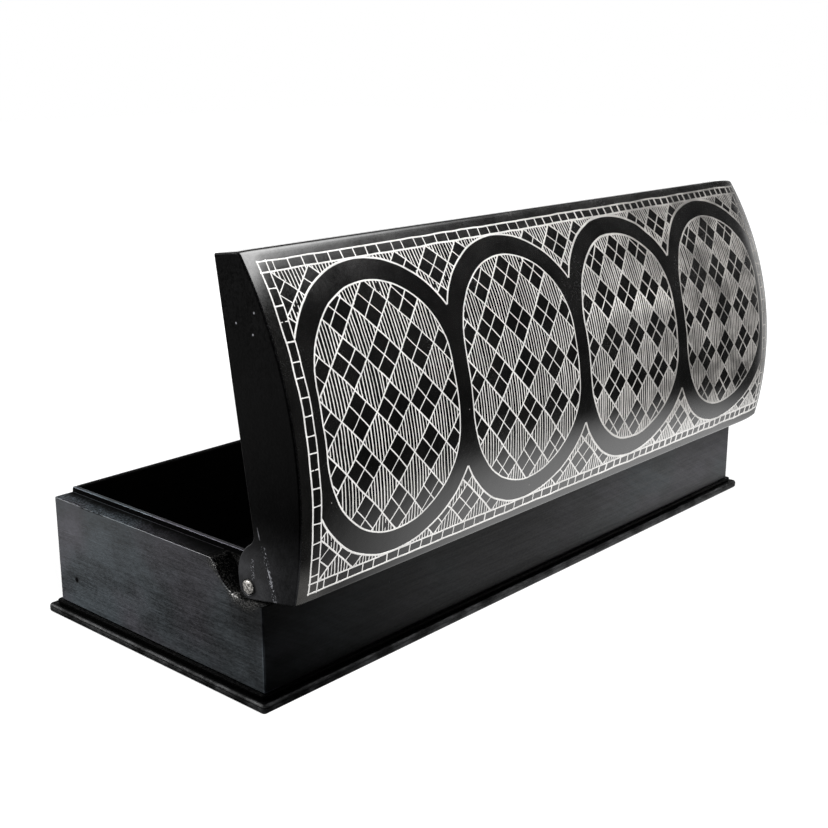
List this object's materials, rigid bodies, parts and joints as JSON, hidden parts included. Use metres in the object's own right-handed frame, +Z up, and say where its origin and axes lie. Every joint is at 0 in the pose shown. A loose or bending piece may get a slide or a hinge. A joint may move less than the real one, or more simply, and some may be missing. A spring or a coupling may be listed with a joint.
{
  "type": "bangle box",
  "caption": "Long blackened metal bangle box with silver line inlay on a domed lid, which hinges on short end pins and rests wide open on the back wall.",
  "frame": {"origin": "middle of the flat underside of the plinth", "axes": "+X along the box towards its right end as seen from the opening side, -Y to the front where the lid opens, +Z up"},
  "size_m": [0.3076, 0.1371, 0.1484],
  "materials": {
    "tray_metal": "blackened zinc alloy, filed and rubbed to a satin",
    "lid_metal": "blackened zinc alloy, polished to a soft gloss",
    "pin_metal": "bare drawn pin with its end hammered over",
    "silver_inlay": "fine bright silver wire, rubbed flush"
  },
  "bodies": {
    "tray": {"plinth_plate": "tray_metal", "floor_plate": "tray_metal", "front_wall": "tray_metal", "back_wall": "tray_metal", "right_end_plate": "tray_metal", "left_end_plate": "tray_metal", "right_inner_wall": "tray_metal", "left_inner_wall": "tray_metal", "right_hinge_pin": "pin_metal", "left_hinge_pin": "pin_metal"},
    "lid": {"lid_shell": "lid_metal", "right_cheek": "lid_metal", "left_cheek": "lid_metal"}
  },
  "joints": [
    {"name": "lid_hinge", "type": "hinge", "parent": "tray", "child": "lid", "pos_m": [0, 0.0498, 0.04], "axis": [1, 0, 0], "range_deg": [0, 81.1]}
  ]
}
